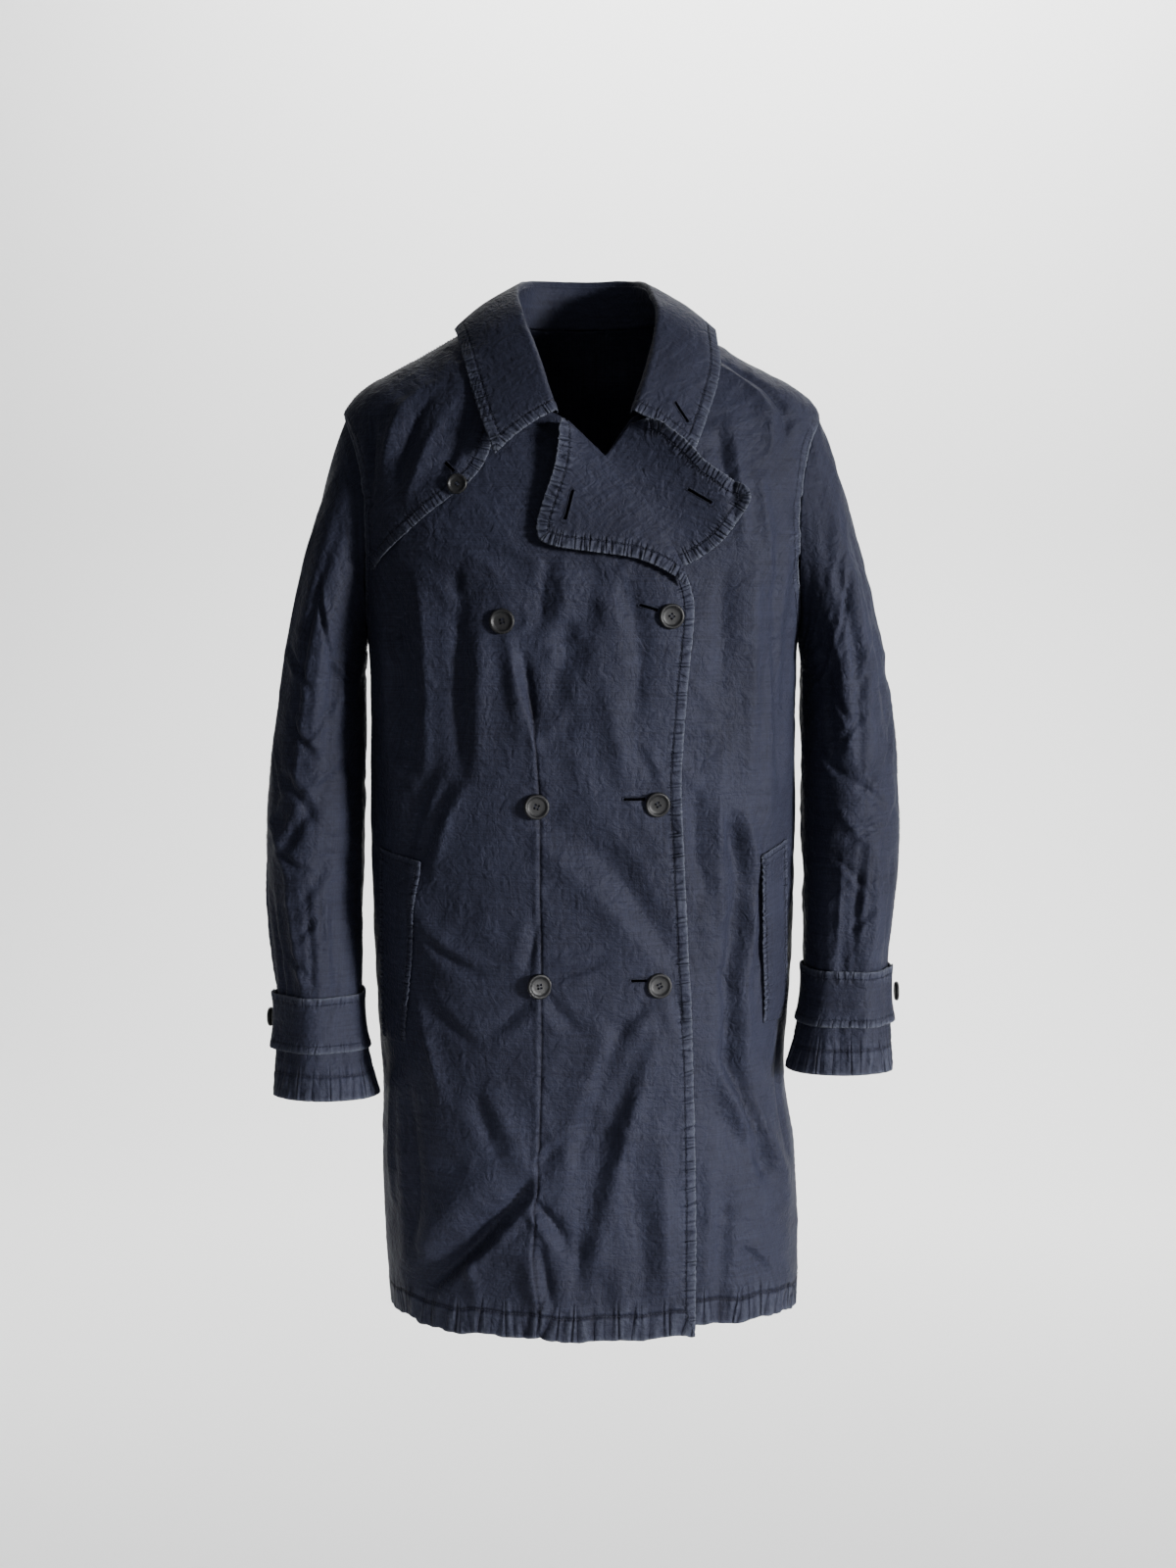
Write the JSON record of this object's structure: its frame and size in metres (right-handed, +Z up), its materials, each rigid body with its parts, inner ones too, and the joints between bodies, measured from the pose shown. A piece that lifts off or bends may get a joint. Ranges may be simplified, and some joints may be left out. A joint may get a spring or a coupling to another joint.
{
  "type": "trench coat",
  "caption": "Short double-breasted trench coat in thin cotton, hollow as worn, with fold-back lapels, a two-part collar, a storm flap on one shoulder, slanted welt pockets and buttoned cuff straps.",
  "frame": {"origin": "centre of the neck base, at the level where the shoulder seams reach the collar; the wearer's shoulders carry the coat here", "axes": "+Z up, -Y to the coat's front, +X to the wearer's left"},
  "size_m": [0.5928, 0.2947, 0.9627],
  "materials": {
    "cloth": "garment-washed plain-weave cotton, faint sheen, edges rubbed lighter",
    "button": "mottled dark horn look, softly polished"
  },
  "bodies": {
    "root": {"back": "cloth", "front_right": "cloth", "front_left": "cloth", "storm_flap": "cloth", "lapel_right": "cloth", "lapel_left": "cloth", "collar_stand": "cloth", "collar_fall": "cloth", "sleeve_right_top": "cloth", "sleeve_right_under": "cloth", "cuff_strap_right": "cloth", "sleeve_left_top": "cloth", "sleeve_left_under": "cloth", "cuff_strap_left": "cloth", "pocket_right": "cloth", "pocket_left": "cloth", "button_cuff_right": "button", "button_cuff_left": "button", "button_front_1": "button", "button_front_2": "button", "button_front_3": "button", "button_front_4": "button", "button_front_5": "button", "button_front_6": "button", "button_flap": "button"}
  },
  "joints": []
}
